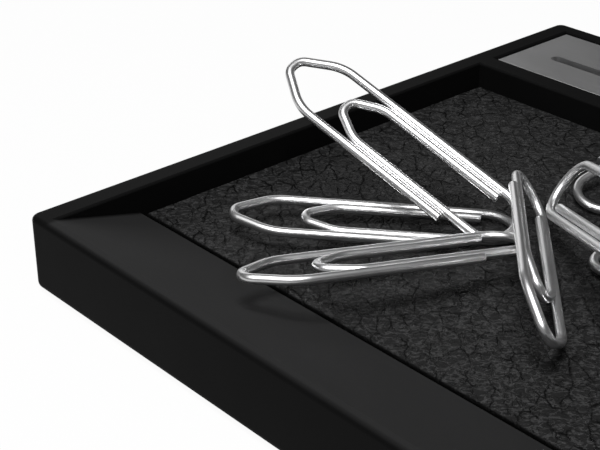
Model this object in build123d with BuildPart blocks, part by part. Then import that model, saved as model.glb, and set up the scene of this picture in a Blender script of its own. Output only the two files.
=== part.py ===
from build123d import *
from math import radians, sin, tan
import os

# Magnetic paper clip holder: a low moulded tray with a ramped clip well over a hidden disc magnet,
# a slotted metal plate behind the well, and loose wire clips that the magnet holds.
# Millimetres. +Z is up, -Y is the front, and the origin is under the middle of the tray on the desk.

# Tray outside
corner_radius = 1.2
rim_edge_radius = 0.6
foot_edge_radius = 0.8
well_edge_radius = 0.3

# Clip well
well_width = 71.2
side_wall = 2.9
front_lip = 1.3
ramp_length = 11.0
well_depth = 2.95
well_length = 55.8
divider = 3.0
floor_thickness = 1.0
ramp_skin = 1.6

# Leatherette floor
leather_thickness = 0.85
board_thickness = 0.8
inlay_gap = 0.55
board_inset = 0.2
leather_edge_radius = 0.25

# Rear bay
bay_length = 15.1
rear_wall = 2.3
plate_thickness = 1.0
plate_recess = 0.25
plate_gap = 0.15
plate_edge = 0.2
shelf_thickness = 1.2
slot_end_margin = 4.6
slot_width = 1.6
slot_from_divider = 6.4
trough_margin = 0.2
trough_wall = 1.0
trough_floor = 1.0

# Underside
foot_projection = 0.5
cover_thickness = 1.1
cover_border = 1.4
cover_gap = 0.2
cover_ledge = 0.9
rib_setback = 0.7
rib_thickness = 1.4

# Magnet stack
magnet_diameter = 20.0
magnet_thickness = 2.0
keeper_thickness = 0.6
pad_thickness = 0.4
magnet_gap = 0.15
magnet_ring_wall = 1.2
ring_gap = 0.3

# Ballast
ballast_side_gap = 4.2
ballast_end_gap = 5.9
ballast_ring_gap = 0.8
ballast_thickness = 1.6

# Cover screws
screw_diameter = 2.0
screw_head_diameter = 3.8
screw_head_angle = 90
screw_length = 4.4
screw_gap = 0.05
screw_boss_wall = 1.4
boss_sink = 0.5
screw_inset_side = 6.5
screw_inset_front = 6.5
screw_inset_rear = 5.3
drive_width = 0.4
drive_length = 2.2
drive_depth = 0.45

# Rubber feet
foot_diameter = 8.0
foot_recess = 0.3
foot_rim_radius = 0.2
foot_inset_side = 12.0
foot_inset_end = 14.0

# Wire clip
wire_diameter = 1.0
leg_gap = 0.06
clip_length = 31.0
clip_width = 8.4
tip_width = 2.8
tip_length = 4.5
inner_tip_width = 2.7
inner_tip_length = 3.2
inner_setback = 8.1
shoulder_radius = 5.0
tip_radius = 1.45
inner_shoulder_radius = 3.8
inner_tip_radius = 1.3
outer_leg_setback = 7.0
inner_leg_setback = 4.0
bow_slack = 0.05

# How each clip lies. The held end is measured from the magnet's axis, and edge_height, in wire diameters,
# is how high the lower edge starts over the leatherette. Heading is counter-clockwise from +X, rise is
# above level, and roll is about the clip's own length, in degrees.
clip_poses = [
    dict(held_end=(-2.5, -4.2), edge_height=0.25, heading=193.5, rise=25, roll=-22.3),
    dict(held_end=(-3.9, -1.2), edge_height=0.6, heading=227.2, rise=4.1, roll=0),
    dict(held_end=(0.8, -6.0), edge_height=2.34, heading=249.3, rise=4.3, roll=13.2),
    dict(held_end=(-6.1, 1.8), edge_height=1.5, heading=313.5, rise=-0.2, roll=121.3),
    dict(held_end=(4.5, 2.0), edge_height=0.6, heading=352, rise=7, roll=4),
    dict(held_end=(-2.7, 3.9), edge_height=2.45, heading=324, rise=16.5, roll=53),
    dict(held_end=(5.5, 7.5), edge_height=0.8, heading=38, rise=7, roll=0),
    dict(held_end=(-3.6, 8.4), edge_height=0.3, heading=84, rise=10, roll=9),
]

# Heights, stacked up from the desk
base_z = foot_projection
cover_z = base_z + cover_thickness
keeper_z = cover_z + pad_thickness
magnet_z = keeper_z + keeper_thickness
floor_z = magnet_z + magnet_thickness
floor_under_z = floor_z - floor_thickness
leather_z = floor_z + board_thickness + leather_thickness
rim_z = leather_z + well_depth
bay_z = rim_z - plate_recess - plate_thickness
shelf_under_z = bay_z - shelf_thickness

# Overall size
tray_width = well_width + 2 * side_wall
tray_depth = front_lip + ramp_length + well_length + divider + bay_length + rear_wall

# Stations along the depth
front_y = -tray_depth / 2
rear_y = tray_depth / 2
lip_y = front_y + front_lip
ramp_foot_y = lip_y + ramp_length
divider_y = ramp_foot_y + well_length
bay_y = divider_y + divider
bay_end_y = bay_y + bay_length
slot_y = bay_y + slot_from_divider
magnet_y = ramp_foot_y + well_length / 2

cavity_border = cover_border + cover_ledge
cavity_width = tray_width - 2 * cavity_border
cavity_front_y = front_y + cavity_border
ramp_slope = well_depth / ramp_length
rib_y = divider_y + rib_setback
slot_length = well_width - 2 * slot_end_margin
trough_half = slot_width / 2 + trough_margin
ring_radius = magnet_diameter / 2 + magnet_gap + magnet_ring_wall
boss_radius = screw_diameter / 2 + screw_gap + screw_boss_wall
screw_x = tray_width / 2 - screw_inset_side
screw_front_y = front_y + screw_inset_front
screw_rear_y = rear_y - screw_inset_rear
screw_spots = [
    (-screw_x, screw_front_y),
    (screw_x, screw_front_y),
    (-screw_x, screw_rear_y),
    (screw_x, screw_rear_y),
]
foot_x = tray_width / 2 - foot_inset_side
foot_y = tray_depth / 2 - foot_inset_end

os.makedirs("parts", exist_ok=True)


def finish(piece, name):
    piece.label = name
    export_step(piece, f"parts/{name}.step")


def ramp_z(y):
    return rim_z - ramp_slope * (y - lip_y)


# Tray body
front_boss_z = ramp_z(screw_front_y) - ramp_skin + boss_sink
rear_boss_z = shelf_under_z + boss_sink

with BuildPart() as tray_body:
    with BuildSketch(Plane.XY.offset(base_z)):
        RectangleRounded(tray_width, tray_depth, corner_radius)
    extrude(amount=rim_z - base_z)
    fillet(tray_body.faces().sort_by(Axis.Z)[-1].edges(), radius=rim_edge_radius)
    fillet(tray_body.faces().sort_by(Axis.Z)[0].edges(), radius=foot_edge_radius)

    # the clip well: ramp, flat floor, upright divider
    with BuildSketch(Plane.YZ):
        with BuildLine():
            Polyline(
                (lip_y, rim_z),
                (ramp_foot_y, leather_z),
                (ramp_foot_y, floor_z),
                (divider_y, floor_z),
                (divider_y, rim_z),
                close=True,
            )
        make_face()
    extrude(amount=well_width / 2, both=True, mode=Mode.SUBTRACT)

    # the bay for the metal plate
    with BuildSketch(Plane.XY.offset(bay_z)):
        with Locations((0, (bay_y + bay_end_y) / 2)):
            Rectangle(well_width, bay_end_y - bay_y)
    extrude(amount=rim_z - bay_z, mode=Mode.SUBTRACT)
    rim_face = tray_body.faces().filter_by(Axis.Z).sort_by(Axis.Z)[-1]
    fillet(rim_face.inner_wires().edges(), radius=well_edge_radius)

    # the seat of the base cover
    with BuildSketch(Plane.XY.offset(base_z)):
        Rectangle(tray_width - 2 * cover_border, tray_depth - 2 * cover_border)
    extrude(amount=cover_thickness, mode=Mode.SUBTRACT)

    # the hollow under the ramp and the well
    with BuildSketch(Plane.YZ):
        with BuildLine():
            Polyline(
                (cavity_front_y, cover_z),
                (cavity_front_y, ramp_z(cavity_front_y) - ramp_skin),
                (ramp_foot_y, floor_under_z),
                (rib_y, floor_under_z),
                (rib_y, cover_z),
                close=True,
            )
        make_face()
    extrude(amount=cavity_width / 2, both=True, mode=Mode.SUBTRACT)

    # the hollows before and behind the slot trough
    near_hollow = (rib_y + rib_thickness, slot_y - trough_half - trough_wall)
    far_hollow = (slot_y + trough_half + trough_wall, rear_y - cavity_border)
    for start_y, end_y in (near_hollow, far_hollow):
        with BuildSketch(Plane.XY.offset(cover_z)):
            with Locations((0, (start_y + end_y) / 2)):
                Rectangle(cavity_width, end_y - start_y)
        extrude(amount=shelf_under_z - cover_z, mode=Mode.SUBTRACT)
    with BuildSketch(Plane.XY.offset(cover_z + trough_floor)):
        with Locations((0, slot_y)):
            Rectangle(slot_length + 2 * trough_margin, 2 * trough_half)
    extrude(amount=bay_z - cover_z - trough_floor, mode=Mode.SUBTRACT)

    # the ring that holds the magnet, open to the inlay board
    with BuildSketch(Plane.XY.offset(cover_z + ring_gap)):
        with Locations((0, magnet_y)):
            Circle(ring_radius)
    extrude(amount=floor_z - cover_z - ring_gap)
    with BuildSketch(Plane.XY.offset(cover_z)):
        with Locations((0, magnet_y)):
            Circle(magnet_diameter / 2 + magnet_gap)
    extrude(amount=floor_z - cover_z, mode=Mode.SUBTRACT)

    # screw bosses
    for spot in screw_spots:
        boss_z = front_boss_z if spot[1] < 0 else rear_boss_z
        with BuildSketch(Plane.XY.offset(cover_z)):
            with Locations(spot):
                Circle(boss_radius)
        extrude(amount=boss_z - cover_z)
        with BuildSketch(Plane.XY.offset(cover_z)):
            with Locations(spot):
                Circle(screw_diameter / 2 + screw_gap)
        extrude(amount=screw_length - cover_thickness + screw_gap, mode=Mode.SUBTRACT)
finish(tray_body.part, "tray_body")

# Leatherette floor on its board
leather_width = well_width - 2 * inlay_gap
leather_length = well_length - 2 * inlay_gap

with BuildPart() as inlay_board:
    with BuildSketch(Plane.XY.offset(floor_z)):
        with Locations((0, magnet_y)):
            Rectangle(leather_width - 2 * board_inset, leather_length - 2 * board_inset)
    extrude(amount=board_thickness)
finish(inlay_board.part, "inlay_board")

with BuildPart() as leather_inlay:
    with BuildSketch(Plane.XY.offset(floor_z + board_thickness)):
        with Locations((0, magnet_y)):
            Rectangle(leather_width, leather_length)
    extrude(amount=leather_thickness)
    fillet(leather_inlay.faces().sort_by(Axis.Z)[-1].edges(), radius=leather_edge_radius)
finish(leather_inlay.part, "leather_inlay")

# Metal plate with its long slot
with BuildPart() as slot_plate:
    with BuildSketch(Plane.XY.offset(bay_z)):
        with Locations((0, (bay_y + bay_end_y) / 2)):
            Rectangle(well_width - 2 * plate_gap, bay_end_y - bay_y - 2 * plate_gap)
    extrude(amount=plate_thickness)
    chamfer(slot_plate.faces().sort_by(Axis.Z)[-1].edges(), length=plate_edge)
    with BuildSketch(Plane.XY.offset(bay_z)):
        with Locations((0, slot_y)):
            SlotOverall(slot_length, slot_width)
    extrude(amount=plate_thickness, mode=Mode.SUBTRACT)
finish(slot_plate.part, "slot_plate")

# Magnet, its keeper and the pad that presses them up
disc_stack = [
    ("magnet_pad", cover_z, pad_thickness),
    ("magnet_keeper", keeper_z, keeper_thickness),
    ("magnet", magnet_z, magnet_thickness),
]
for name, bottom_z, thickness in disc_stack:
    with BuildPart() as disc:
        with BuildSketch(Plane.XY.offset(bottom_z)):
            with Locations((0, magnet_y)):
                Circle(magnet_diameter / 2)
        extrude(amount=thickness)
    finish(disc.part, name)

# Ballast plate round the magnet's ring
ballast_width = cavity_width - 2 * ballast_side_gap
ballast_length = well_length - 2 * ballast_end_gap

with BuildPart() as ballast_plate:
    with BuildSketch(Plane.XY.offset(cover_z)):
        with Locations((0, magnet_y)):
            Rectangle(ballast_width, ballast_length)
            Circle(ring_radius + ballast_ring_gap, mode=Mode.SUBTRACT)
    extrude(amount=ballast_thickness)
finish(ballast_plate.part, "ballast_plate")

# Base cover
foot_spots = {
    "foot_front_left": (-foot_x, -foot_y),
    "foot_front_right": (foot_x, -foot_y),
    "foot_rear_left": (-foot_x, foot_y),
    "foot_rear_right": (foot_x, foot_y),
}
cover_width = tray_width - 2 * cover_border - 2 * cover_gap
cover_length = tray_depth - 2 * cover_border - 2 * cover_gap
hole_radius = screw_diameter / 2 + screw_gap
sink_radius = screw_head_diameter / 2 + screw_gap

with BuildPart() as base_cover:
    with BuildSketch(Plane.XY.offset(base_z)):
        Rectangle(cover_width, cover_length)
    extrude(amount=cover_thickness)
    with BuildSketch(Plane.XY.offset(base_z)):
        with Locations(*foot_spots.values()):
            Circle(foot_diameter / 2)
    extrude(amount=foot_recess, mode=Mode.SUBTRACT)
    with Locations(*[Location((x, y, base_z), (180, 0, 0)) for x, y in screw_spots]):
        CounterSinkHole(
            radius=hole_radius,
            counter_sink_radius=sink_radius,
            depth=cover_thickness,
            counter_sink_angle=screw_head_angle,
        )
finish(base_cover.part, "base_cover")

# Countersunk cover screws with a cross drive
head_height = (screw_head_diameter - screw_diameter) / 2 / tan(radians(screw_head_angle / 2))

with BuildPart() as cover_screws:
    for spot in screw_spots:
        with BuildSketch(Plane.XZ.offset(-spot[1])):
            with BuildLine():
                Polyline(
                    (spot[0], base_z),
                    (spot[0] + screw_head_diameter / 2, base_z),
                    (spot[0] + screw_diameter / 2, base_z + head_height),
                    (spot[0] + screw_diameter / 2, base_z + screw_length),
                    (spot[0], base_z + screw_length),
                    close=True,
                )
            make_face()
        revolve(axis=Axis((spot[0], spot[1], 0), (0, 0, 1)))
    with BuildSketch(Plane.XY.offset(base_z)):
        with Locations(*screw_spots):
            Rectangle(drive_length, drive_width)
            Rectangle(drive_width, drive_length)
    extrude(amount=drive_depth, mode=Mode.SUBTRACT)
finish(cover_screws.part, "cover_screws")

# Rubber feet, each seated in a shallow recess of the cover
for name, spot in foot_spots.items():
    with BuildPart() as foot:
        with BuildSketch(Plane.XY):
            with Locations(spot):
                Circle(foot_diameter / 2)
        extrude(amount=foot_projection + foot_recess)
        fillet(foot.edges().sort_by(Axis.Z)[0], radius=foot_rim_radius)
    finish(foot.part, name)

# Wire clips: one wire bent into an outer bow with a blunt point, a round held end and an inner bow
outer_half = (clip_width - wire_diameter) / 2
inner_half = outer_half - wire_diameter - leg_gap
held_x = wire_diameter / 2
tip_x = clip_length - wire_diameter / 2
tip_half = (tip_width - wire_diameter) / 2
inner_tip_half = (inner_tip_width - wire_diameter) / 2
inner_tip_x = clip_length - inner_setback
held_radius = (outer_half + inner_half) / 2 - bow_slack

clip_corners = [
    (outer_leg_setback, outer_half),
    (clip_length - tip_length, outer_half),
    (tip_x, tip_half),
    (tip_x, -tip_half),
    (clip_length - tip_length, -outer_half),
    (held_x, -outer_half),
    (held_x, inner_half),
    (inner_tip_x - inner_tip_length, inner_half),
    (inner_tip_x, inner_tip_half),
    (inner_tip_x, -inner_tip_half),
    (inner_tip_x - inner_tip_length, -inner_half),
    (inner_leg_setback, -inner_half),
]
clip_radii = [
    shoulder_radius,
    tip_radius,
    tip_radius,
    shoulder_radius,
    held_radius,
    held_radius,
    inner_shoulder_radius,
    inner_tip_radius,
    inner_tip_radius,
    inner_shoulder_radius,
]


def clip_plane(held_end, edge_height, heading, rise, roll):
    x, y = held_end
    z = leather_z + edge_height * wire_diameter + outer_half * abs(sin(radians(roll)))
    outward = Vector(1, 0, 0).rotate(Axis.Y, -rise).rotate(Axis.Z, heading)
    face = Vector(0, 0, 1).rotate(Axis.X, roll).rotate(Axis.Y, -rise).rotate(Axis.Z, heading)
    return Plane(origin=(x, magnet_y + y, z), x_dir=outward, z_dir=face)


for number, pose in enumerate(clip_poses, start=1):
    with BuildPart() as clip:
        with BuildLine(clip_plane(**pose)) as bend:
            FilletPolyline(*clip_corners, radius=clip_radii)
        with BuildSketch(Plane(origin=bend.line @ 0, z_dir=bend.line % 0)):
            Circle(wire_diameter / 2)
        sweep()
    finish(clip.part, f"paper_clip_{number}")
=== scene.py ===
import math
import bpy
import numpy as np
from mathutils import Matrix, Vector


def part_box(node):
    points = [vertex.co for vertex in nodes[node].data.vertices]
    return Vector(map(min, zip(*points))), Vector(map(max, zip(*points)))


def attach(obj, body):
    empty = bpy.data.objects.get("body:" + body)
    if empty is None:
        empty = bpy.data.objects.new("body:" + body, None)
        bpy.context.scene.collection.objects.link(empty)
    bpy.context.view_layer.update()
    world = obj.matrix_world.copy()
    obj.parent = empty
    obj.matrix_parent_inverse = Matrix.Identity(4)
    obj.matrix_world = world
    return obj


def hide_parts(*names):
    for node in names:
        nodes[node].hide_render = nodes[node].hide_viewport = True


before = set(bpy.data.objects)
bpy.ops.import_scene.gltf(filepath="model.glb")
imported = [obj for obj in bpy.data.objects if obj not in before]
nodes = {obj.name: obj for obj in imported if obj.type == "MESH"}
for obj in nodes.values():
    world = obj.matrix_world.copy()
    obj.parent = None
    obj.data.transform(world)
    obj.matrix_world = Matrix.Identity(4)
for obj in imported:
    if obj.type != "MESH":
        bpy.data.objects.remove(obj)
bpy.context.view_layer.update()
mm = 0.001
white = (1.0, 1.0, 1.0, 1.0)


# Shader sums

class Flow:
    # one shader socket; + - and * between sockets and numbers each add a Math node
    def __init__(self, tree, socket=None):
        self.tree = tree
        self.socket = socket

    def node(self, kind, settings=None, inputs=None, out=0):
        made = self.tree.nodes.new(kind)
        for key, value in (settings or {}).items():
            if key == "stops":
                setStops(made.color_ramp, value)
            else:
                setattr(made, key, value)
        for key, value in (inputs or {}).items():
            if isinstance(value, Flow):
                self.tree.links.new(value.socket, made.inputs[key])
            else:
                made.inputs[key].default_value = value
        return Flow(self.tree, made.outputs[out]) if len(made.outputs) else None

    def calc(self, operation, left, right):
        return self.node("ShaderNodeMath", {"operation": operation}, {0: left, 1: right})

    def __add__(self, other):
        return self.calc("ADD", self, other)

    def __radd__(self, other):
        return self.calc("ADD", other, self)

    def __sub__(self, other):
        return self.calc("SUBTRACT", self, other)

    def __rsub__(self, other):
        return self.calc("SUBTRACT", other, self)

    def __mul__(self, other):
        return self.calc("MULTIPLY", self, other)

    def __rmul__(self, other):
        return self.calc("MULTIPLY", other, self)


def setStops(colorRamp, stops):
    # each stop is a place from 0 to 1 and a grey level
    while len(colorRamp.elements) < len(stops):
        colorRamp.elements.new(1.0)
    for element, (place, grey) in zip(colorRamp.elements, stops):
        element.position = place
        element.color = (grey, grey, grey, 1.0)


def startFinish(name):
    finish = bpy.data.materials.new(name)
    finish.use_nodes = True
    finish.node_tree.nodes.clear()
    return finish, Flow(finish.node_tree)


def closeFinish(flow, inputs):
    shader = flow.node("ShaderNodeBsdfPrincipled", {}, inputs)
    flow.node("ShaderNodeOutputMaterial", {}, {"Surface": shader})


def objectPlace(flow, stretch=(1.0, 1.0, 1.0)):
    place = flow.node("ShaderNodeTexCoord", out="Object")
    return flow.node("ShaderNodeMapping", {}, {"Vector": place, "Scale": stretch})


def drawnOut(flow, place, stretch, turn):
    # lengthens a pattern along its own axes, which are turned about Z by turn degrees
    return flow.node("ShaderNodeMapping", {"vector_type": "TEXTURE"}, {
        "Vector": place, "Scale": stretch, "Rotation": (0.0, 0.0, math.radians(turn))})


def noise(flow, place, size, detail=2.0, rough=0.5, out=0):
    # size is the width of one blotch, in the units of place
    return flow.node("ShaderNodeTexNoise", {}, {
        "Vector": place, "Scale": 1.0 / size, "Detail": detail, "Roughness": rough}, out)


def between(flow, factor, low, high):
    # a colour that runs from low to high as factor runs from 0 to 1; sockets 6, 7 and 2 are the colour ones
    return flow.node("ShaderNodeMix", {"data_type": "RGBA"}, {
        0: factor, 6: (*low, 1.0), 7: (*high, 1.0)}, out=2)


def ramp(flow, factor, *stops):
    return flow.node("ShaderNodeValToRGB", {"stops": stops}, {"Fac": factor})


def stepUp(flow, value, start, fade):
    # rises from 0 to 1 as value runs from start to start + fade
    return flow.node("ShaderNodeMapRange", {}, {
        "Value": value, "From Min": start, "From Max": start + fade})


def vary(base, *shifts):
    # base, plus each share of how far its pattern stands above or below a half
    for share, pattern in shifts:
        base = base + share * (pattern - 0.5)
    return base


def raised(flow, relief, plan):
    return flow.node("ShaderNodeBump", {}, {
        "Height": relief, "Distance": plan["depth"], "Strength": plan["strength"]})


# Plastic and rubber pieces that keep their solids

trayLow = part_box("tray_body")[0]
leatherLow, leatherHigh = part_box("leather_inlay")
plasticLook = {"cloudGloss": 0.14, "grainGloss": 0.10}  # how much each pattern changes the gloss
plasticPlans = {
    "trayPlastic": dict(
        nodes=["tray_body"], grain=0.16 * mm, cloud=9 * mm, depth=0.012 * mm, strength=0.35,
        dark=(0.0024, 0.0024, 0.00242), light=(0.0135, 0.0135, 0.01365), gloss=0.5, sheen=0.034,
        paintedLightBand=dict(  # painted light: the lip and the ramp, up to the leatherette, painted paler than the walls as if lit more
            front=trayLow.y + 0.15 * mm, back=leatherLow.y + 0.5 * mm, half=leatherHigh.x + 0.45 * mm,
            fade=0.6 * mm, pale=9.0)),
    "coverPlastic": dict(
        nodes=["base_cover"], grain=0.35 * mm, cloud=12 * mm, depth=0.03 * mm, strength=0.6,
        dark=(0.022, 0.022, 0.022), light=(0.032, 0.032, 0.032), gloss=0.6, sheen=0.3),
    "footRubber": dict(
        nodes=["foot_front_left", "foot_front_right", "foot_rear_left", "foot_rear_right"],
        grain=0.25 * mm, cloud=3 * mm, depth=0.02 * mm, strength=0.6,
        dark=(0.035, 0.035, 0.035), light=(0.055, 0.055, 0.055), gloss=0.75, sheen=0.3),
}


def paintedLightBandMask(flow, place, band):
    # the painted light band: 1 inside the band, fading to 0 at its front, its back and its two sides
    depth = flow.node("ShaderNodeSeparateXYZ", {}, {"Vector": place}, out="Y")
    across = flow.node("ShaderNodeSeparateXYZ", {}, {"Vector": place}, out="X")
    aside = flow.node("ShaderNodeMath", {"operation": "ABSOLUTE"}, {0: across})
    return (stepUp(flow, depth, band["front"], band["fade"])
            * stepUp(flow, 0.0 - depth, -band["back"], band["fade"])
            * stepUp(flow, 0.0 - aside, -band["half"], band["fade"]))


def softPlastic(name, plan):
    # moulded plastic: a spark-eroded grain over slow changes in tone and gloss; a band may be painted paler,
    # as painted light
    finish, flow = startFinish(name)
    place = objectPlace(flow)
    grain = noise(flow, place, plan["grain"], detail=3.0, rough=0.6)
    cloud = noise(flow, place, plan["cloud"], detail=3.0)
    tone = cloud
    if "paintedLightBand" in plan:
        # painted light: inside the band the tone is lifted towards the light colour
        pale = plan["paintedLightBand"]["pale"]
        tone = (cloud + pale * paintedLightBandMask(flow, place, plan["paintedLightBand"])) * (1.0 / (1.0 + pale))
    closeFinish(flow, {
        "Base Color": between(flow, tone, plan["dark"], plan["light"]),
        "Roughness": vary(
            plan["gloss"], (plasticLook["cloudGloss"], cloud), (plasticLook["grainGloss"], grain)),
        "Specular IOR Level": plan["sheen"],
        "Normal": raised(flow, grain, plan),
    })
    return finish


# Metal pieces that keep their solids

metalLook = {
    "draw": (0.02, 1.0, 1.0),    # the lines run along X, fifty times as long as they are wide
    "linesTone": 0.55, "cloudTone": 0.45, "linesGloss": 0.16, "cloudGloss": 0.08,
}
metalPlans = {
    "satinPlate": dict(
        nodes=["slot_plate"], lines=0.09 * mm, cloud=14 * mm, depth=0.004 * mm, strength=0.5,
        dark=(0.70, 0.70, 0.705), light=(0.88, 0.88, 0.885), gloss=0.38),
    "magnetNickel": dict(
        nodes=["magnet"], lines=0.3 * mm, cloud=5 * mm, depth=0.003 * mm, strength=0.4,
        dark=(0.50, 0.49, 0.47), light=(0.62, 0.61, 0.59), gloss=0.22),
    "keeperSteel": dict(
        nodes=["magnet_keeper"], lines=0.12 * mm, cloud=4 * mm, depth=0.006 * mm, strength=0.5,
        dark=(0.34, 0.34, 0.35), light=(0.47, 0.47, 0.48), gloss=0.38),
    "ballastZinc": dict(
        nodes=["ballast_plate"], lines=0.4 * mm, cloud=3 * mm, depth=0.01 * mm, strength=0.5,
        dark=(0.26, 0.26, 0.27), light=(0.38, 0.38, 0.39), gloss=0.45),
    "screwZinc": dict(
        nodes=["cover_screws"], lines=0.1 * mm, cloud=1.5 * mm, depth=0.005 * mm, strength=0.5,
        dark=(0.32, 0.32, 0.33), light=(0.46, 0.46, 0.47), gloss=0.32),
}


def drawnMetal(name, plan):
    # fine drawn lines under a slow change in tone
    finish, flow = startFinish(name)
    lines = noise(flow, objectPlace(flow, metalLook["draw"]), plan["lines"], detail=3.0, rough=0.65)
    cloud = noise(flow, objectPlace(flow), plan["cloud"])
    tone = metalLook["linesTone"] * lines + metalLook["cloudTone"] * cloud
    closeFinish(flow, {
        "Base Color": between(flow, tone, plan["dark"], plan["light"]),
        "Roughness": vary(
            plan["gloss"], (metalLook["linesGloss"], lines), (metalLook["cloudGloss"], cloud)),
        "Metallic": 1.0,
        "Normal": raised(flow, lines, plan),
    })
    return finish


# Board and foam pieces that keep their solids

boardLook = {"coarseTone": 0.6, "fineTone": 0.4, "coarseGloss": 0.1}
boardPlans = {
    "greyBoard": dict(
        nodes=["inlay_board"], coarse=0.8 * mm, fine=0.25 * mm, depth=0.03 * mm, strength=0.8,
        dark=(0.20, 0.19, 0.175), light=(0.31, 0.30, 0.28), gloss=0.85, sheen=0.25),
    "blackFoam": dict(
        nodes=["magnet_pad"], coarse=0.5 * mm, fine=0.3 * mm, depth=0.08 * mm, strength=0.8,
        dark=(0.03, 0.03, 0.03), light=(0.10, 0.10, 0.10), gloss=0.9, sheen=0.25),
}


def pressedBoard(name, plan):
    # short fibres or cells of two sizes
    finish, flow = startFinish(name)
    place = objectPlace(flow)
    coarse = noise(flow, place, plan["coarse"], detail=4.0, rough=0.7)
    fine = flow.node("ShaderNodeTexVoronoi", {"feature": "F1"}, {
        "Vector": place, "Scale": 1.0 / plan["fine"]}, out="Distance")
    tone = boardLook["coarseTone"] * coarse + boardLook["fineTone"] * fine
    closeFinish(flow, {
        "Base Color": between(flow, tone, plan["dark"], plan["light"]),
        "Roughness": vary(plan["gloss"], (boardLook["coarseGloss"], coarse)),
        "Specular IOR Level": plan["sheen"],
        "Normal": raised(flow, tone, plan),
    })
    return finish


for maker, plans in ((softPlastic, plasticPlans), (drawnMetal, metalPlans), (pressedBoard, boardPlans)):
    for finishName, plan in plans.items():
        finish = maker(finishName, plan)
        for nodeName in plan["nodes"]:
            nodes[nodeName].data.materials.clear()
            nodes[nodeName].data.materials.append(finish)
print("solid nodes finished:", len(plasticPlans) + len(metalPlans) + len(boardPlans), "finishes")


# Mesh helpers

def addPiece(name, points, faces, finish, body, replaced):
    mesh = bpy.data.meshes.new(name)
    mesh.from_pydata(points.tolist(), [], faces)
    mesh.polygons.foreach_set("use_smooth", np.ones(len(mesh.polygons), dtype=bool))
    mesh.materials.append(finish)
    mesh.update()
    piece = bpy.data.objects.new(name, mesh)
    bpy.context.scene.collection.objects.link(piece)
    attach(piece, body)
    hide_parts(replaced)
    return piece


def gridFaces(rows, columns, wrap=False):
    # quads between neighbouring rows of points; wrap joins the last column to the first
    quads = np.arange(columns if wrap else columns - 1)
    row, column = np.meshgrid(np.arange(rows - 1), quads, indexing="ij")
    here, above = row * columns, (row + 1) * columns
    after = (column + 1) % columns
    corners = [here + column, here + after, above + after, above + column]
    return np.stack(corners, axis=-1).reshape(-1, 4).tolist()


# Leatherette floor

leatherPlan = {
    # mesh
    "step": 0.215 * mm,          # spacing of the surface points
    "edgeRadius": 0.25 * mm,
    "edgeStations": (0.0, 0.07, 0.25, 0.55),  # rows of points over the rounded edge, in edge radii
    "pebble": 1.35 * mm,         # width of one pebble of the grain
    "jitter": 0.9,
    "warp": 0.5 * mm,            # how far pebble borders stray, and over what length
    "warpSize": 1.1 * mm,
    "grooveDepth": 0.035 * mm,
    "grooveWidth": 0.30 * mm,
    "patchSize": 1.9 * mm,       # grooves come and go in patches, down to the least share
    "patchLeast": 0.25,
    "swell": 0.02 * mm,
    "seed": 23,
    # colour
    "dark": (0.001, 0.001, 0.001),
    "light": (0.036, 0.036, 0.0364),
    "wornLeast": 0.16,           # shares of the light colour
    "wornCloud": 0.16,
    "wornHair": 0.08,
    # painted highlight: the wrinkles' share of the light colour
    "wrinkleHighlight": 0.6,
    "fineCrackShade": 0.55,            # how far fine cracks and creases darken the colour, as painted shade
    "creaseShade": 0.3,
    "edgeShade": 4.0,             # painted shade: the rounded edge is fully dark where it has dropped by 1 / 4 of its radius
    # cracks and wrinkles
    "wander": 0.8 * mm,          # how far the crack lines stray, and over what length
    "wanderSize": 1.0 * mm,
    "wideCracks": dict(cell=1.6 * mm, halfWidth=0.13 * mm, patch=2.0 * mm),
    "fineCracks": dict(cell=0.75 * mm, halfWidth=0.08 * mm, patch=1.4 * mm),
    "crackShoulder": 0.6,        # strength of a crack halfway out from its middle
    "crackPatch": (0.37, 0.58),  # patch noise below which there is no crack, and above which it is whole
    "turn": 48.0,                # turned 48 degrees, across the camera's view: wide cracks are drawn out square to it, wrinkles along it
    "crackDraw": 2.0,
    "wrinkle": 0.85 * mm,
    "wrinkleBand": (0.44, 0.5, 0.56),  # noise levels where a wrinkle starts, peaks and ends
    "wrinkleDraw": 1.7,
    "cloud": 5 * mm,
    "hair": 0.12 * mm,
    # relief and gloss
    "depth": 0.095 * mm,
    "strength": 1.0,
    "hairRelief": 0.08,
    "wrinkleRelief": 0.5,
    "fineRelief": 0.6,
    "gloss": 0.36,
    "cloudGloss": 0.12,
    "hairGloss": 0.08,
    "wrinkleGloss": 0.06,
    "edgeGloss": 0.4,
    "sheen": 0.05,
}


def crackLines(flow, place, bent, plan, cracks):
    # 1 along the borders of flat Voronoi cells, 0 away from them, coming and going in patches
    border = flow.node("ShaderNodeTexVoronoi", {"feature": "DISTANCE_TO_EDGE", "voronoi_dimensions": "2D"}, {
        "Vector": bent, "Scale": 1.0 / cracks["cell"]}, out="Distance")
    reach = cracks["halfWidth"] / cracks["cell"]
    line = ramp(flow, border, (0.0, 1.0), (0.5 * reach, plan["crackShoulder"]), (reach, 0.0))
    bare, whole = plan["crackPatch"]
    return line * ramp(flow, noise(flow, place, cracks["patch"]), (bare, 0.0), (whole, 1.0))


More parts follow.
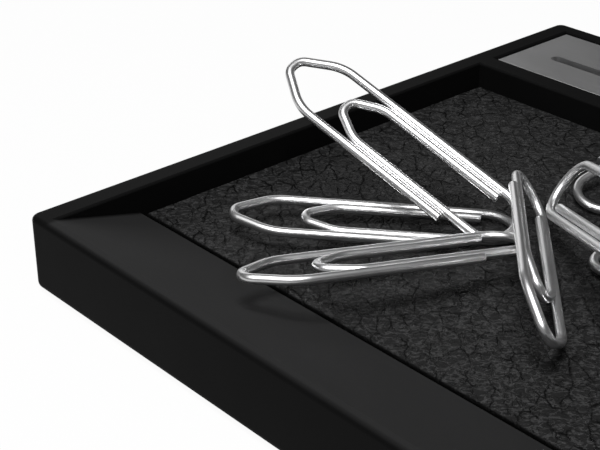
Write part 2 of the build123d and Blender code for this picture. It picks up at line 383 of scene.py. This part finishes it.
def grainedLeather(name, plan):
    # hairline cracks of two sizes and wrinkles lie over the pebbles of the mesh; the colour is darkened in
    # the cracks and creases as painted shade, the wrinkles are lightened as painted highlight, and the cut
    # edge is darkened as painted shade and dull
    finish, flow = startFinish(name)
    place = objectPlace(flow)
    wander = noise(flow, place, plan["wanderSize"], out="Color")
    bent = flow.node("ShaderNodeVectorMath", {"operation": "MULTIPLY_ADD"}, {
        0: wander, 1: (plan["wander"],) * 3, 2: place})
    wrinkled = drawnOut(flow, bent, (plan["wrinkleDraw"], 1.0, 1.0), plan["turn"])
    cracked = drawnOut(flow, bent, (1.0, plan["crackDraw"], 1.0), plan["turn"])
    starts, peaks, ends = plan["wrinkleBand"]
    wrinkle = ramp(flow, noise(flow, wrinkled, plan["wrinkle"], rough=0.6),
                   (starts, 0.0), (peaks, 1.0), (ends, 0.0))
    crease = flow.node("ShaderNodeAttribute", {"attribute_name": "crease"}, out="Fac")
    edge = flow.node("ShaderNodeAttribute", {"attribute_name": "edge"}, out="Fac")
    wide = crackLines(flow, place, cracked, plan, plan["wideCracks"])
    fine = crackLines(flow, place, bent, plan, plan["fineCracks"])
    cloud = noise(flow, place, plan["cloud"], detail=3.0, rough=0.6)
    hair = noise(flow, place, plan["hair"], detail=3.0, rough=0.65)
    # painted shade: the colour is darkened in the cracks and the mesh's creases
    cracks = flow.calc("MAXIMUM", wide, plan["fineCrackShade"] * fine)
    # painted highlight: the wrinkles lift the colour towards the light one
    toneAndHighlight = (plan["wornLeast"] + plan["wornCloud"] * cloud + plan["wornHair"] * hair
            + plan["wrinkleHighlight"] * wrinkle)
    # painted shade: the rounded cut edge is darkened to black
    tone = (1.0 - cracks) * toneAndHighlight * (1.0 - plan["creaseShade"] * crease) * (1.0 - edge)
    gloss = vary(plan["gloss"], (plan["cloudGloss"], cloud), (plan["hairGloss"], hair))
    relief = plan["hairRelief"] * hair + plan["wrinkleRelief"] * wrinkle - wide - plan["fineRelief"] * fine
    closeFinish(flow, {
        "Base Color": between(flow, tone, plan["dark"], plan["light"]),
        "Roughness": gloss - plan["wrinkleGloss"] * wrinkle + plan["edgeGloss"] * edge,
        "Specular IOR Level": plan["sheen"],
        "Normal": raised(flow, relief, plan),
    })
    return finish


def pebbleField(x, y, size, jitter, seed):
    # each square of a lattice holds one moved point; gives the distances from every surface point
    # to the nearest and the second nearest of them, in units of one square
    reach = 2                    # squares searched on each side
    margin = reach + 1
    draw = np.random.default_rng(seed)
    column, row = np.floor(x / size).astype(int), np.floor(y / size).astype(int)
    spots = draw.random((np.ptp(row) + 2 * margin + 1, np.ptp(column) + 2 * margin + 1, 2)) * jitter
    distances = []
    for stepY in range(-reach, reach + 1):
        for stepX in range(-reach, reach + 1):
            spot = spots[row - row.min() + stepY + margin, column - column.min() + stepX + margin]
            acrossX = x / size - (column + stepX + spot[..., 0])
            acrossY = y / size - (row + stepY + spot[..., 1])
            distances.append(np.hypot(acrossX, acrossY))
    distances = np.sort(np.stack(distances), axis=0)
    return distances[0], distances[1]


def softNoise(x, y, size, seed):
    # smooth noise: random values on a square lattice, blended with a smoothstep between its points
    draw = np.random.default_rng(seed)
    gridX, gridY = x / size, y / size
    column, row = np.floor(gridX).astype(int), np.floor(gridY).astype(int)
    values = draw.random((np.ptp(row) + 2, np.ptp(column) + 2))
    partX, partY = gridX - column, gridY - row
    partX, partY = partX * partX * (3 - 2 * partX), partY * partY * (3 - 2 * partY)
    column, row = column - column.min(), row - row.min()
    near = values[row, column] * (1 - partX) + values[row, column + 1] * partX
    far = values[row + 1, column] * (1 - partX) + values[row + 1, column + 1] * partX
    return near * (1 - partY) + far * partY


def leatherLines(low, high, plan):
    # stations across the floor: close together over the rounded edge, even between
    radius = plan["edgeRadius"]
    edge = radius * np.array(plan["edgeStations"])
    count = int((high - low - 2 * radius) / plan["step"])
    middle = np.linspace(low + radius, high - radius, count)
    return np.concatenate([low + edge, middle, (high - edge)[::-1]])


def leatherSurface(low, high, plan):
    # height = top - groove depth * bell of the gap between the two nearest pebble centres
    # + a swell that is highest in mid-pebble - the drop of a quarter circle along the rim
    radius, seed = plan["edgeRadius"], plan["seed"]
    x, y = np.meshgrid(leatherLines(low.x, high.x, plan), leatherLines(low.y, high.y, plan))
    warpX = x + plan["warp"] * (softNoise(x, y, plan["warpSize"], seed + 1) - 0.5)
    warpY = y + plan["warp"] * (softNoise(x, y, plan["warpSize"], seed + 2) - 0.5)
    nearest, second = pebbleField(warpX, warpY, plan["pebble"], plan["jitter"], seed)
    gap = (second - nearest) * plan["pebble"] / plan["grooveWidth"]
    patchy = softNoise(x, y, plan["patchSize"], seed + 3)
    crease = np.exp(-gap * gap) * (plan["patchLeast"] + (1 - plan["patchLeast"]) * patchy)
    swell = plan["swell"] * (np.clip(1 - nearest, 0, 1) - 1)
    inset = np.minimum(np.minimum(x - low.x, high.x - x), np.minimum(y - low.y, high.y - y))
    shortfall = np.clip(radius - inset, 0, radius)
    drop = radius - np.sqrt(radius ** 2 - shortfall ** 2)
    z = high.z - plan["grooveDepth"] * crease + swell - drop
    return np.stack([x, y, z], axis=-1), crease, np.clip(drop / radius * plan["edgeShade"], 0, 1)


def makeLeather(plan):
    # the pebbled top, a skirt from its rim straight down to the sheet's underside, and one flat face below
    low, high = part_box("leather_inlay")
    surface, crease, edge = leatherSurface(low, high, plan)
    rows, columns = crease.shape
    index = np.arange(rows * columns).reshape(rows, columns)
    rim = np.concatenate([index[0, :-1], index[:-1, -1], index[-1, :0:-1], index[:0:-1, 0]])
    points = surface.reshape(-1, 3)
    skirt = points[rim].copy()
    skirt[:, 2] = low.z
    under = rows * columns + np.arange(len(rim))
    sides = np.stack([rim, under, np.roll(under, -1), np.roll(rim, -1)], axis=-1)
    faces = gridFaces(rows, columns) + sides.tolist() + [under[::-1].tolist()]
    finish = grainedLeather("grainedLeather", plan)
    piece = addPiece("leatherFloor", np.concatenate([points, skirt]), faces, finish,
                     "tray", "leather_inlay")
    for layerName, inside, outside in (("crease", crease, 0.0), ("edge", edge, 1.0)):
        layer = piece.data.attributes.new(layerName, "FLOAT", "POINT")
        values = np.concatenate([inside.ravel(), np.full(len(rim), outside)])
        layer.data.foreach_set("value", values.astype(np.float32))
    print("leather floor:", len(piece.data.polygons), "faces")


makeLeather(leatherPlan)


# Wire clips

clipPlan = {
    "wire": 1.0, "length": 31.0, "width": 8.4, "pitch": 1.06,  # millimetres, as the solids
    "tipWidth": 2.8, "tipLength": 4.5, "innerTipWidth": 2.7, "innerTipLength": 3.2, "innerSetback": 8.1,
    "shoulderRadius": 5.0, "tipRadius": 1.45, "innerShoulderRadius": 3.8, "innerTipRadius": 1.3,
    "outerLegSetback": 7.0, "innerLegSetback": 4.0, "bowSlack": 0.05,
    "around": 28, "perBend": 14,                               # points round the wire, and rings in a bend
    "cutRound": 0.12, "cutRings": 5, "samePlace": 1e-6,
    "dark": (0.76, 0.76, 0.765), "light": (0.92, 0.92, 0.925), "gloss": 0.33,
    "lineStretch": (1.5, 7.0, 1.0), "cloud": 6 * mm,           # lines per clip length and round the wire
    "linesTone": 0.5, "cloudTone": 0.5, "linesGloss": 0.06, "cloudGloss": 0.06,
}
clipPoses = [  # held end from the magnet's axis, lower edge in wire diameters, heading, rise, roll
    ((-2.5, -4.2), 0.25, 193.5, 25, -22.3),
    ((-3.9, -1.2), 0.6, 227.2, 4.1, 0),
    ((0.8, -6.0), 2.34, 249.3, 4.3, 13.2),
    ((-6.1, 1.8), 1.5, 313.5, -0.2, 121.3),
    ((4.5, 2.0), 0.6, 352, 7, 4),
    ((-2.7, 3.9), 2.45, 324, 16.5, 53),
    ((5.5, 7.5), 0.8, 38, 7, 0),
    ((-3.6, 8.4), 0.3, 84, 10, 9),
]


def platedWire(name, plan):
    # bright plating over drawn wire: faint lines along the wire, from the tube's own UV map
    finish, flow = startFinish(name)
    along = flow.node("ShaderNodeUVMap", {"uv_map": "wireMap"})
    lined = flow.node("ShaderNodeMapping", {}, {"Vector": along, "Scale": plan["lineStretch"]})
    lines = noise(flow, lined, 1.0, detail=1.0)
    cloud = noise(flow, objectPlace(flow), plan["cloud"], detail=3.0, rough=0.6)
    tone = plan["linesTone"] * lines + plan["cloudTone"] * cloud
    closeFinish(flow, {
        "Base Color": between(flow, tone, plan["dark"], plan["light"]),
        "Roughness": vary(plan["gloss"], (plan["linesGloss"], lines), (plan["cloudGloss"], cloud)),
        "Metallic": 1.0,
    })
    return finish


def clipLine(plan):
    # the bent wire's middle line: straight runs whose corners are arcs of a given radius; each arc starts
    # radius * tan(turn / 2) before its corner and turns evenly from the way in to the way out
    outer = (plan["width"] - plan["wire"]) / 2
    inner = outer - plan["pitch"]
    held = plan["wire"] / 2
    tip = plan["length"] - held
    tipHalf = (plan["tipWidth"] - plan["wire"]) / 2
    innerTip = plan["length"] - plan["innerSetback"]
    innerTipHalf = (plan["innerTipWidth"] - plan["wire"]) / 2
    shoulder = plan["length"] - plan["tipLength"]
    innerShoulder = innerTip - plan["innerTipLength"]
    bow = (outer + inner) / 2 - plan["bowSlack"]
    corners = np.array([
        (plan["outerLegSetback"], outer), (shoulder, outer), (tip, tipHalf), (tip, -tipHalf),
        (shoulder, -outer), (held, -outer), (held, inner), (innerShoulder, inner),
        (innerTip, innerTipHalf), (innerTip, -innerTipHalf), (innerShoulder, -inner),
        (plan["innerLegSetback"], -inner)])
    radii = np.array([
        plan["shoulderRadius"], plan["tipRadius"], plan["tipRadius"], plan["shoulderRadius"],
        bow, bow,
        plan["innerShoulderRadius"], plan["innerTipRadius"],
        plan["innerTipRadius"], plan["innerShoulderRadius"]])
    runs = np.diff(corners, axis=0)
    runs /= np.linalg.norm(runs, axis=1, keepdims=True)
    wayIn, wayOut = runs[:-1], runs[1:]
    cross = wayIn[:, 0] * wayOut[:, 1] - wayIn[:, 1] * wayOut[:, 0]
    turn = np.arctan2(cross, (wayIn * wayOut).sum(axis=1))
    side = np.stack([-wayIn[:, 1], wayIn[:, 0]], axis=1) * np.sign(turn)[:, None]
    start = corners[1:-1] - wayIn * (radii * np.tan(np.abs(turn) / 2))[:, None]
    angle = np.abs(turn)[:, None] * np.linspace(0, 1, plan["perBend"])
    arcs = (start[:, None] + radii[:, None, None]
            * (wayIn[:, None] * np.sin(angle)[..., None] + side[:, None] * (1 - np.cos(angle))[..., None]))
    return np.concatenate([corners[:1], arcs.reshape(-1, 2), corners[-1:]])


def turned(vector, roll, rise, heading):
    # roll about X, then rise about Y, then heading about Z
    roll, rise, heading = np.radians([roll, -rise, heading])
    rollX = np.array([[1, 0, 0], [0, np.cos(roll), -np.sin(roll)], [0, np.sin(roll), np.cos(roll)]])
    riseY = np.array([[np.cos(rise), 0, np.sin(rise)], [0, 1, 0], [-np.sin(rise), 0, np.cos(rise)]])
    turnZ = np.array([
        [np.cos(heading), -np.sin(heading), 0], [np.sin(heading), np.cos(heading), 0], [0, 0, 1]])
    return turnZ @ riseY @ rollX @ np.array(vector, float)


def wireTube(line, plan):
    # a circle carried along the flat line: middle + radius * (cos * in-plane normal + sin * face normal);
    # the radius falls in a quarter circle over the last stretch at each cut end
    steps = np.linalg.norm(np.diff(line, axis=0), axis=1)
    line = line[np.concatenate([[True], steps > plan["samePlace"]])]
    away = np.concatenate([[0.0], np.cumsum(np.linalg.norm(np.diff(line, axis=0), axis=1))])
    total, cut = away[-1], plan["cutRound"]
    ends = cut * (1 - np.cos(np.linspace(0, np.pi / 2, plan["cutRings"])))
    stations = np.unique(np.concatenate([away[1:-1], ends, total - ends]))
    middle = np.stack([np.interp(stations, away, line[:, axis]) for axis in (0, 1)], axis=1)
    tangent = np.gradient(middle, stations, axis=0)
    tangent /= np.linalg.norm(tangent, axis=1, keepdims=True)
    normal = np.stack([-tangent[:, 1], tangent[:, 0]], axis=1)
    shortfall = np.clip(cut - np.minimum(stations, total - stations), 0, cut)
    radius = plan["wire"] / 2 - cut + np.sqrt(np.maximum(cut ** 2 - shortfall ** 2, 0))
    angle = np.linspace(0, 2 * np.pi, plan["around"], endpoint=False)
    flat = middle[:, None] + radius[:, None, None] * np.cos(angle)[None, :, None] * normal[:, None]
    height = radius[:, None] * np.sin(angle)[None]
    return np.concatenate([flat, height[..., None]], axis=-1), stations


def makeClip(number, pose, plan, finish):
    heldEnd, edgeHeight, heading, rise, roll = pose
    low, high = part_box("leather_inlay")
    halfWidth = (plan["width"] - plan["wire"]) / 2
    lift = edgeHeight * plan["wire"] + halfWidth * abs(math.sin(math.radians(roll)))
    origin = np.array([heldEnd[0] * mm, (low.y + high.y) / 2 + heldEnd[1] * mm, high.z + lift * mm])
    axes = np.stack([turned(axis, roll, rise, heading) for axis in np.eye(3)])
    tube, stations = wireTube(clipLine(plan), plan)
    rings, around = tube.shape[:2]
    points = origin + mm * tube.reshape(-1, 3) @ axes
    ring = np.arange(around)
    caps = [ring[::-1].tolist(), (ring + (rings - 1) * around).tolist()]
    piece = addPiece(f"wireClip{number}", points, gridFaces(rings, around, wrap=True) + caps, finish,
                     f"clip_{number}", f"paper_clip_{number}")
    loops = np.empty(len(piece.data.loops), dtype=np.int32)
    piece.data.loops.foreach_get("vertex_index", loops)
    spot = np.stack([stations[loops // around] / plan["length"], (loops % around) / around], axis=1)
    piece.data.uv_layers.new(name="wireMap").data.foreach_set("uv", spot.astype(np.float32).ravel())


wireFinish = platedWire("platedWire", clipPlan)
for number, pose in enumerate(clipPoses, start=1):
    makeClip(number, pose, clipPlan, wireFinish)
print("wire clips:", len(clipPoses))


# Floor, light and camera

floorPlan = {
    "reach": 3.0, "lines": 9,                # metres from the middle to each side, and points along a side
    "white": 0.16,                           # the paper under the light
    "glow": 0.85, "strength": 1.12,          # how much the camera sees of a plain pale ground, and how bright
    "mirrored": 0.62,                        # how much of that the wires and the plate reflect
}


def makeFloor(plan):
    # a flat sheet on a coarse grid at the height of the desk
    span = np.linspace(-plan["reach"], plan["reach"], plan["lines"])
    x, y = np.meshgrid(span, span)
    points = np.stack([x, y, np.zeros_like(x)], axis=-1).reshape(-1, 3)
    mesh = bpy.data.meshes.new("studioFloor")
    mesh.from_pydata(points.tolist(), [], gridFaces(plan["lines"], plan["lines"]))
    finish, flow = startFinish("paleFloor")
    ray = flow.node("ShaderNodeLightPath", out="Is Camera Ray")
    mirrored = flow.node("ShaderNodeLightPath", out="Is Glossy Ray")
    through = flow.node("ShaderNodeLightPath", out="Is Transmission Ray")
    seen = flow.calc("MINIMUM", ray + plan["mirrored"] * (mirrored + through), 1.0)
    paper = flow.node("ShaderNodeBsdfDiffuse", {}, {"Color": (plan["white"],) * 3 + (1.0,)})
    glow = flow.node("ShaderNodeEmission", {}, {"Color": white, "Strength": plan["strength"]})
    mixed = flow.node("ShaderNodeMixShader", {}, {0: plan["glow"] * seen, 1: paper, 2: glow})
    flow.node("ShaderNodeOutputMaterial", {}, {"Surface": mixed})
    finish.cycles.emission_sampling = "NONE"  # the lamps light the scene, not the floor
    mesh.materials.append(finish)
    floor = bpy.data.objects.new("studioFloor", mesh)
    bpy.context.scene.collection.objects.link(floor)


lampTarget = (0.0, 0.0, 0.006)  # the well's floor
lampPlan = {  # metres and watts
    "keyLamp": dict(place=(0.08, -0.164, 0.39), size=(0.15, 0.15), power=2.6),
    "frontPanel": dict(place=(0.031, -0.356, 0.671), size=(0.80, 0.80), power=2.4),
    "backSoftbox": dict(place=(-0.66, 0.34, 0.24), size=(0.50, 0.34), power=0.5),
}
airStrength = 0.06


def makeLamps(plans, target):
    for name, plan in plans.items():
        lamp = bpy.data.lights.new(name, "AREA")
        lamp.shape = "RECTANGLE"
        lamp.size, lamp.size_y = plan["size"]
        lamp.energy = plan["power"]
        holder = bpy.data.objects.new(name, lamp)
        holder.location = plan["place"]
        holder.rotation_euler = (Vector(target) - Vector(plan["place"])).to_track_quat("-Z", "Y").to_euler()
        bpy.context.scene.collection.objects.link(holder)


def makeWorld(strength):
    world = bpy.data.worlds.new("studioAir")
    world.use_nodes = True
    world.node_tree.nodes.clear()
    flow = Flow(world.node_tree)
    air = flow.node("ShaderNodeBackground", {}, {"Color": white, "Strength": strength})
    flow.node("ShaderNodeOutputWorld", {}, {"Surface": air})
    bpy.context.scene.world = world


cameraPlan = {
    "place": (0.078228, -0.110731, 0.0774),
    "yaw": 48.0,              # degrees to the left of the tray's depth
    "pitch": 27.9,            # degrees below level
    "focalPixels": 1405.5,    # worked out from the tray's edges on a frame 600 pixels wide
    "framePixels": 600,
    "sensor": 36.0,           # millimetres
    "clip": (0.005, 20.0),    # metres, nearest and farthest
}


def makeCamera(plan):
    lens = bpy.data.cameras.new("photoView")
    lens.sensor_fit = "HORIZONTAL"
    lens.sensor_width = plan["sensor"]
    lens.lens = plan["sensor"] * plan["focalPixels"] / plan["framePixels"]
    lens.clip_start, lens.clip_end = plan["clip"]
    yaw, pitch = math.radians(plan["yaw"]), math.radians(plan["pitch"])
    ahead = Vector((-math.sin(yaw) * math.cos(pitch), math.cos(yaw) * math.cos(pitch), -math.sin(pitch)))
    holder = bpy.data.objects.new("photoView", lens)
    holder.location = plan["place"]
    holder.rotation_euler = ahead.to_track_quat("-Z", "Y").to_euler()
    bpy.context.scene.collection.objects.link(holder)
    bpy.context.scene.camera = holder


makeFloor(floorPlan)
makeLamps(lampPlan, lampTarget)
makeWorld(airStrength)
makeCamera(cameraPlan)
bpy.context.scene.view_settings.view_transform = "Standard"
print("stage ready")
